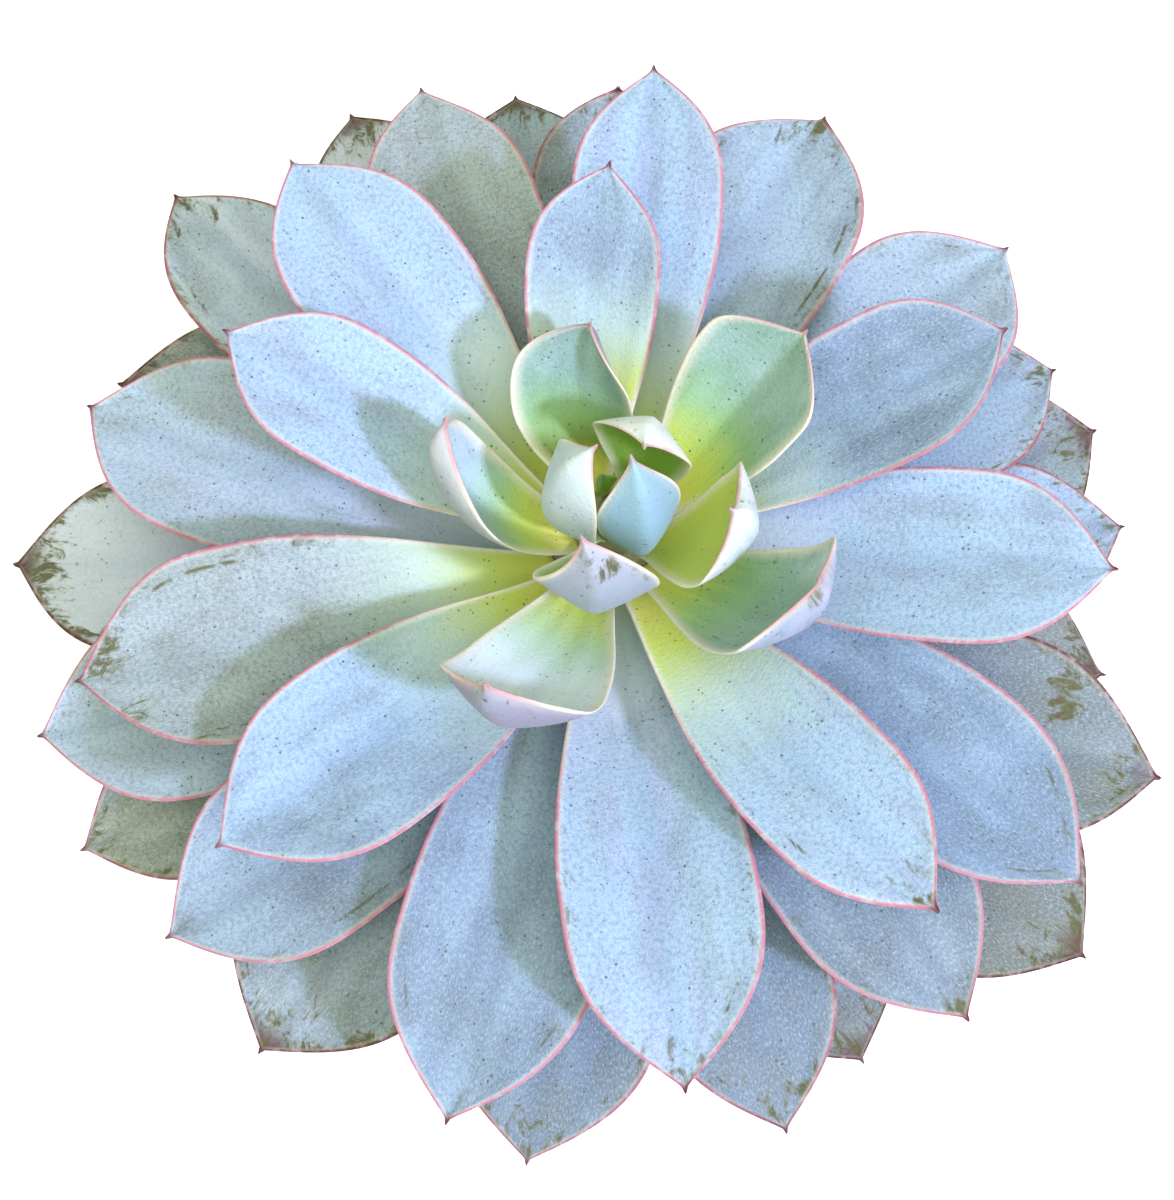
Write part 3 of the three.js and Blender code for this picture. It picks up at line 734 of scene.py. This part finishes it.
    def scars(self, colour):
        """Whitish weathering, olive and tan scars by the margin, the tip and the leaf's mark, thin
        arcs inside the margin, and a burnt tip. Wear brings all of them but the mark's."""
        marked = self.near_mark()
        edge_near = self.ramp(self.edge, 0.5, 7.0, 1.0, 0.0)
        near = self.larger(edge_near, self.ramp(self.tip_gap, 4, 26, 1.0, 0.0))
        blotch = self.grain(self.stretch(self.place, 0.26, 0.12), 1.0, 4.0, 0.74, 0.6)
        press = self.plus(self.times(near, 0.16), self.times(self.wear, 0.14))
        press = self.larger(press, self.times(marked, 0.3))
        weight = self.plus(blotch, press)
        gate = self.times(self.ramp(self.wear, 0.05, 0.5), self.ramp(self.along, 0.3, 0.55))
        gate = self.larger(gate, marked)
        worn = self.times(self.ramp(weight, 0.68, 0.8), self.ramp(self.wear, 0.75, 1.0, 0.08, 0.5))
        chalk = self.ramp(self.wear, 0.9, 1.0, 0.0, 0.22)
        chalk = self.times(chalk, self.ramp(self.clouds, 0.3, 0.6, 0.4, 1.0))
        colour = self.blend(self.larger(self.times(worn, gate), chalk), colour, WEATHERED)
        veil = self.ramp(weight, 0.68, 0.8, 0.0, 0.4)
        veil = self.times(veil, self.times(gate, self.larger(near, marked)))
        colour = self.blend(veil, colour, OLIVE_SCAR)
        scar = self.larger(self.times(self.ramp(weight, 0.74, 0.86), gate), self.arcs(blotch))
        hue = self.blend(self.ramp(self.mottle, 0.46, 0.62), OLIVE_SCAR, TAN_SCAR)
        colour = self.blend(self.times(scar, 0.9), colour, hue)
        burnt = self.plus(self.tip_gap, self.times(self.minus(blotch, 0.5), 30))
        burnt = self.times(self.ramp(burnt, 3.0, 8.0, 1.0, 0.0), self.ramp(self.wear, 0.45, 0.75))
        return self.blend(self.times(burnt, 0.8), colour, BROWN_TIP)

    def arcs(self, blotch):
        """Thin broken scars that run beside the margin."""
        arc = self.ramp(self.size_of(self.minus(self.edge, 4.0)), 0.1, 0.7, 1.0, 0.0)
        broken = self.times(self.ramp(self.clouds, 0.54, 0.6), self.ramp(blotch, 0.46, 0.54))
        arc = self.times(self.times(arc, broken), self.ramp(self.wear, 0.15, 0.3))
        return self.times(arc, self.ramp(self.along, 0.45, 0.6))

    def margin(self, colour, edge_pale):
        """A fine pink or cream line round the leaf, rose by a young leaf's tip and brown where the
        leaf is worn, a painted pale glow inside it that stands for light shining through the thin
        margin, and the brown point of the tip."""
        broken = self.grain(self.place, 0.3, 2.0)
        width = self.plus(self.times(self.wear, 0.9), 0.75)
        line = self.ramp(self.share_of(self.edge, width), 0.15, 1.0, 1.0, 0.0)
        line = self.times(line, self.ramp(broken, 0.25, 0.55, 0.45, 1.0))
        cream = self.times(self.ramp(self.tip_gap, 3.0, 12.0, 0.5, 1.3), edge_pale)
        cream = self.larger(cream, self.ramp(self.along, 0.25, 0.55, 1.0, 0.0))
        rim = self.blend(cream, PINK_EDGE, PALE_EDGE)
        brown = self.times(self.ramp(self.wear, 0.35, 0.65), self.ramp(broken, 0.35, 0.5, 0.35, 1.0))
        rim = self.blend(brown, rim, BROWN_EDGE)
        # Painted light: a pale glow just inside the margin, as light shining through it, fainter on
        # the under side
        glow = self.ramp(self.edge, 0.2, mix(1.8, 3.4, edge_pale), 1.0, 0.0)
        glow = self.times(glow, mix(0.35, 0.7, edge_pale))
        glow = self.times(glow, self.ramp(self.under, 0.6, 1.0, 1.0, 0.3))
        colour = self.blend(glow, colour, PALE_EDGE)
        colour = self.blend(line, colour, rim)
        point = self.times(self.ramp(self.tip_gap, 0.8, 3.0, 1.0, 0.0), 1 - edge_pale)
        return self.blend(self.times(point, 0.85), colour, BROWN_TIP)


def build_leaves():
    seed = 0
    for ring in RINGS:
        name = ring["name"]
        skin = LeafSkin(name + "_skin", **ring["skin"])
        for i, row in enumerate(ring["leaves"], start=1):
            seed += 1
            leaf = {**ring["shape"], **ring["looks"], **row, "seed": seed}
            node = f"{name}_{i:02d}"
            piece = leaf_object(node + "_blade", leaf)
            piece.data.materials.append(skin.material)
            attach(piece, "root")
            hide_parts(node)


# The pot, the soil and the stem


def spun(profile, steps):
    """A closed solid of revolution about Z, from a profile of (radius, height) in millimetres."""
    bm = bmesh.new()
    verts = [bm.verts.new((radius * MM, 0, z * MM)) for radius, z in profile]
    edges = [bm.edges.new(pair) for pair in zip(verts, verts[1:])]
    bmesh.ops.spin(
        bm,
        geom=verts + edges,
        cent=(0, 0, 0),
        axis=(0, 0, 1),
        angle=2 * math.pi,
        steps=steps,
        use_merge=True,
    )
    bmesh.ops.remove_doubles(bm, verts=bm.verts[:], dist=0.02 * MM)
    bmesh.ops.recalc_face_normals(bm, faces=bm.faces[:])
    return bm


def inside_radius(z):
    """The radius inside the pot at a height."""
    return mix(FOOT_RADIUS, RIM_RADIUS - RIM_STEP, z / POT_HEIGHT) - WALL


def arc(centre_radius, centre_height, radius, start, end, steps=5):
    """Profile points round a part of a circle, from one angle to another in degrees."""
    angles = [math.radians(mix(start, end, i / steps)) for i in range(steps + 1)]
    return [
        (centre_radius + radius * math.cos(angle), centre_height + radius * math.sin(angle))
        for angle in angles
    ]


def climb(start, end, steps):
    """Points from one profile point towards another, without the last."""
    shares = [i / steps for i in range(steps)]
    return [(mix(start[0], end[0], share), mix(start[1], end[1], share)) for share in shares]


def pot_profile():
    band_foot = POT_HEIGHT - RIM_BAND
    body_top = mix(FOOT_RADIUS, RIM_RADIUS - RIM_STEP, band_foot / POT_HEIGHT)
    inner = inside_radius(POT_HEIGHT)
    rim_round_foot = POT_HEIGHT - RIM_ROUND
    corner = (inside_radius(FLOOR + FLOOR_SLOPE), FLOOR + FLOOR_SLOPE)
    return [
        (0, 0),
        *climb((8, 0), (FOOT_RADIUS - FOOT_ROUND, 0), 6),
        *arc(FOOT_RADIUS - FOOT_ROUND, FOOT_ROUND, FOOT_ROUND, -90, -10),
        *climb((FOOT_RADIUS + 0.2, 3), (body_top, band_foot - 1), 20),
        *climb((body_top, band_foot - 1), (body_top + RIM_STEP - 1, band_foot), 3),
        *arc(body_top + RIM_STEP - 1.2, band_foot + 1.2, 1.2, -70, 0, 3),
        *climb((body_top + RIM_STEP + 0.1, band_foot + 2), (RIM_RADIUS, rim_round_foot), 8),
        *arc(RIM_RADIUS - RIM_ROUND, rim_round_foot, RIM_ROUND, 0, 90),
        *arc(inner + RIM_ROUND, rim_round_foot, RIM_ROUND, 90, 180),
        *climb((inner, rim_round_foot - 1), corner, 16),
        corner,
        (inside_radius(FLOOR) - FLOOR_SLOPE, FLOOR),
        (0, FLOOR),
    ]


def drilled(piece, cutters):
    """Takes the cutters out of the piece and leaves it a plain mesh."""
    for cutter in cutters:
        tool = piece.modifiers.new("drill", "BOOLEAN")
        tool.operation = "DIFFERENCE"
        tool.solver = "EXACT"
        tool.object = cutter
    bpy.context.view_layer.update()
    scene_state = bpy.context.evaluated_depsgraph_get()
    shaped = bpy.data.meshes.new_from_object(piece.evaluated_get(scene_state))
    piece.modifiers.clear()
    piece.data = shaped
    for cutter in cutters:
        bpy.data.objects.remove(cutter)


def drain_cutter(i):
    angle = 2 * math.pi * i / DRAINS
    place = Vector((DRAIN_CIRCLE * math.cos(angle), DRAIN_CIRCLE * math.sin(angle), 0)) * MM
    bm = bmesh.new()
    bmesh.ops.create_cone(
        bm,
        cap_ends=True,
        segments=32,
        radius1=DRAIN_RADIUS * MM,
        radius2=DRAIN_RADIUS * MM,
        depth=4 * FLOOR * MM,
        matrix=Matrix.Translation(place),
    )
    return finished(f"drain_{i}", bm)


def clay_finish():
    clay = Finish("fired_clay")
    spot = clay.node("ShaderNodeTexCoord").outputs["Object"]
    _, _, z = clay.parts(spot)
    cloud = clay.grain(spot, 22.0, 5.0, 0.6)
    grit = clay.grain(spot, 700.0, 4.0, 0.7)
    turning = clay.grain(clay.stretch(spot, 4.0, 4.0, 900.0), 1.0, 3.0, 0.6)
    colour = clay.blend(clay.ramp(cloud, 0.3, 0.7), CLAY, PALE_CLAY)
    colour = clay.blend(clay.ramp(grit, 0.52, 0.7, 0.0, 0.35), colour, CLAY_GRIT)
    salt = clay.times(clay.ramp(cloud, 0.5, 0.66), clay.ramp(z, 0.02, 0.1, 0.75, 0.1))
    colour = clay.blend(salt, colour, LIME_SALT)
    damp = clay.ramp(z, 0.0, 0.03, 0.4, 0.0)
    colour = clay.blend(damp, colour, DAMP_CLAY)
    clay.colour(colour)
    clay.put(clay.shader.inputs["Roughness"], clay.ramp(grit, 0.3, 0.7, 0.75, 0.92))
    clay.bump(clay.plus(clay.times(grit, 0.5), turning), 0.5, 0.4 * MM)
    return clay.material


def build_pot():
    pot = finished("clay_pot", spun(pot_profile(), 128))
    drilled(pot, [drain_cutter(i) for i in range(DRAINS)])
    pot.data.materials.append(clay_finish())
    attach(pot, "root")
    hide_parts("pot")


def soil_finish():
    soil = Finish("potting_soil")
    spot = soil.node("ShaderNodeTexCoord").outputs["Object"]
    crumbs = soil.spots(spot, 420.0)
    fine = soil.grain(spot, 900.0, 5.0, 0.7)
    tint = soil.parts(crumbs.outputs["Color"])[0]
    colour = soil.blend(tint, SOIL_BROWN, PALE_SOIL)
    stone = soil.ramp(tint, 0.86, 0.9)
    colour = soil.blend(stone, colour, GRIT_STONE)
    colour = soil.blend(soil.ramp(fine, 0.4, 0.7, 0.0, 0.5), colour, DARK_SOIL)
    soil.colour(colour)
    soil.set(Roughness=0.95)
    soil.bump(soil.plus(crumbs.outputs["Distance"], fine), 0.9, 1.2 * MM)
    return soil.material


def soil_profile():
    hole = STEM_RADIUS + SOIL_GAP
    shoulder = inside_radius(FLOOR + FLOOR_SLOPE) - GAP - 0.4
    side = inside_radius(SOIL_TOP) - GAP - 0.6
    return [
        (0, FLOOR + GAP),
        (inside_radius(FLOOR) - FLOOR_SLOPE - SOIL_GAP, FLOOR + GAP),
        *climb((shoulder, FLOOR + FLOOR_SLOPE + GAP), (side, SOIL_TOP - 1.5), 10),
        (side, SOIL_TOP - 1.5),
        *climb((side - 1, SOIL_TOP - 0.6), (hole, SOIL_TOP + 3), 34),
        (hole, SOIL_TOP + 3),
        (hole, STEM_FOOT + STEM_TAPER),
        (STEM_POINT + GAP, STEM_FOOT - SOIL_GAP),
        (0, STEM_FOOT - SOIL_GAP),
    ]


def build_soil():
    bm = spun(soil_profile(), 160)
    edge = inside_radius(SOIL_TOP) - 1.2
    for vert in bm.verts:
        radius = math.hypot(vert.co.x, vert.co.y) / MM
        if vert.co.z > (SOIL_TOP - 1) * MM and STEM_RADIUS + 1 < radius < edge:
            coarse = noise.noise(vert.co * 160)
            fine = noise.noise(vert.co * 520)
            vert.co.z += (1.0 * coarse + 0.6 * fine - 0.6) * MM
    soil = finished("potting_soil_top", bm)
    soil.data.materials.append(soil_finish())
    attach(soil, "root")
    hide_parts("soil")


def stem_finish():
    bark = Finish("stem_skin")
    spot = bark.node("ShaderNodeTexCoord").outputs["Object"]
    rings = bark.grain(bark.stretch(spot, 60.0, 60.0, 420.0), 1.0, 4.0, 0.6)
    cloud = bark.grain(spot, 90.0, 4.0)
    colour = bark.blend(bark.ramp(cloud, 0.3, 0.7), STEM_GREY, PALE_STEM)
    colour = bark.blend(bark.ramp(rings, 0.5, 0.75, 0.0, 0.7), colour, STEM_RINGS)
    bark.colour(colour)
    bark.set(Roughness=0.8)
    bark.bump(rings, 0.7, 0.6 * MM)
    return bark.material


def build_stem():
    heights = [STEM_FOOT + STEM_TAPER + 0.5 + i * STEM_STEP for i in range(44)]
    side = [(stem_radius(z), z) for z in heights if z < STEM_TOP - 1]
    profile = [(0, STEM_FOOT), (STEM_POINT, STEM_FOOT), *side, (0, STEM_TOP)]
    bm = spun(profile, 64)
    for vert in bm.verts:
        z = vert.co.z / MM
        radius = math.hypot(vert.co.x, vert.co.y) / MM
        if radius > 1 and z > SOIL_TOP + 6:
            angle = math.atan2(vert.co.y, vert.co.x)
            scar = math.sin(z * 1.1 + 3 * angle) * math.sin(5 * angle + z * 0.4)
            shrink = 1 - 0.03 * abs(scar)
            vert.co.x *= shrink
            vert.co.y *= shrink
        x, y = stem_centre(z)
        vert.co.x += x * MM
        vert.co.y += y * MM
    stem = finished("leaf_stem", bm)
    stem.data.materials.append(stem_finish())
    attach(stem, "root")
    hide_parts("stem")


# The floor, the light and the camera, in metres and watts
FLOOR_REACH = 6.0
FLOOR_GLOW = (0.75, 0.85, 1.0, 1)
FLOOR_GLOW_STRENGTH = 0.28
SKY = (1.0, 0.98, 0.75, 1)
SKY_STRENGTH = 0.53
KEY_PLACE = (1.18, -0.92, 1.55)
KEY_AIM = (0, 0, 0.15)
KEY_SIZE = 0.2
KEY_POWER = 34.5
KEY_COLOUR = (0.88, 0.87, 1.45)
FILL_REACH = 1.6
FILL_SIZE = 1.8
FILL_POWER = 26
FILL_COLOUR = (1, 1, 0.88)

# The camera looks down at 72 degrees at a point near the plant's middle
CAMERA_PITCH = 72
CAMERA_REACH = 0.480
CAMERA_TARGET = Vector((-0.00387, -0.01159, 0.150))
FOCAL_PIXELS = 1981
PHOTO_HEIGHT = 1200
SENSOR = 36


def build_floor():
    bm = bmesh.new()
    bmesh.ops.create_grid(bm, x_segments=1, y_segments=1, size=FLOOR_REACH)
    floor = finished("floor", bm)
    pale = Finish("pale_floor")
    pale.colour(FLOOR_WHITE)
    pale.set(Roughness=0.9, Emission_Color=FLOOR_GLOW, Emission_Strength=FLOOR_GLOW_STRENGTH)
    floor.data.materials.append(pale.material)


def area_light(name, place, aim, size, power, colour):
    data = bpy.data.lights.new(name, "AREA")
    data.shape = "DISK"
    data.size = size
    data.energy = power
    data.color = colour
    lamp = bpy.data.objects.new(name, data)
    lamp.location = place
    lamp.rotation_euler = (Vector(aim) - Vector(place)).to_track_quat("-Z", "Y").to_euler()
    bpy.context.scene.collection.objects.link(lamp)


def light_scene():
    world = bpy.data.worlds.new("studio")
    world.use_nodes = True
    sky = world.node_tree.nodes["Background"]
    sky.inputs["Color"].default_value = SKY
    sky.inputs["Strength"].default_value = SKY_STRENGTH
    bpy.context.scene.world = world
    area_light("key", KEY_PLACE, KEY_AIM, KEY_SIZE, KEY_POWER, KEY_COLOUR)
    fill_place = CAMERA_TARGET + camera_back() * FILL_REACH
    area_light("fill", fill_place, CAMERA_TARGET, FILL_SIZE, FILL_POWER, FILL_COLOUR)
    bpy.context.scene.view_settings.view_transform = "Standard"


def camera_back():
    """The way from the plant to the camera."""
    pitch = math.radians(CAMERA_PITCH)
    return Vector((0, -math.cos(pitch), math.sin(pitch)))


def set_camera():
    data = bpy.data.cameras.new("camera")
    data.sensor_width = SENSOR
    data.lens = SENSOR * FOCAL_PIXELS / PHOTO_HEIGHT
    back = camera_back()
    right = Vector((1, 0, 0))
    up = back.cross(right)
    camera = bpy.data.objects.new("camera", data)
    turn = Matrix((right, up, back)).transposed().to_4x4()
    camera.matrix_world = Matrix.Translation(CAMERA_TARGET + back * CAMERA_REACH) @ turn
    bpy.context.scene.collection.objects.link(camera)
    bpy.context.scene.camera = camera


set_camera()
build_leaves()
build_pot()
build_soil()
build_stem()
build_floor()
light_scene()
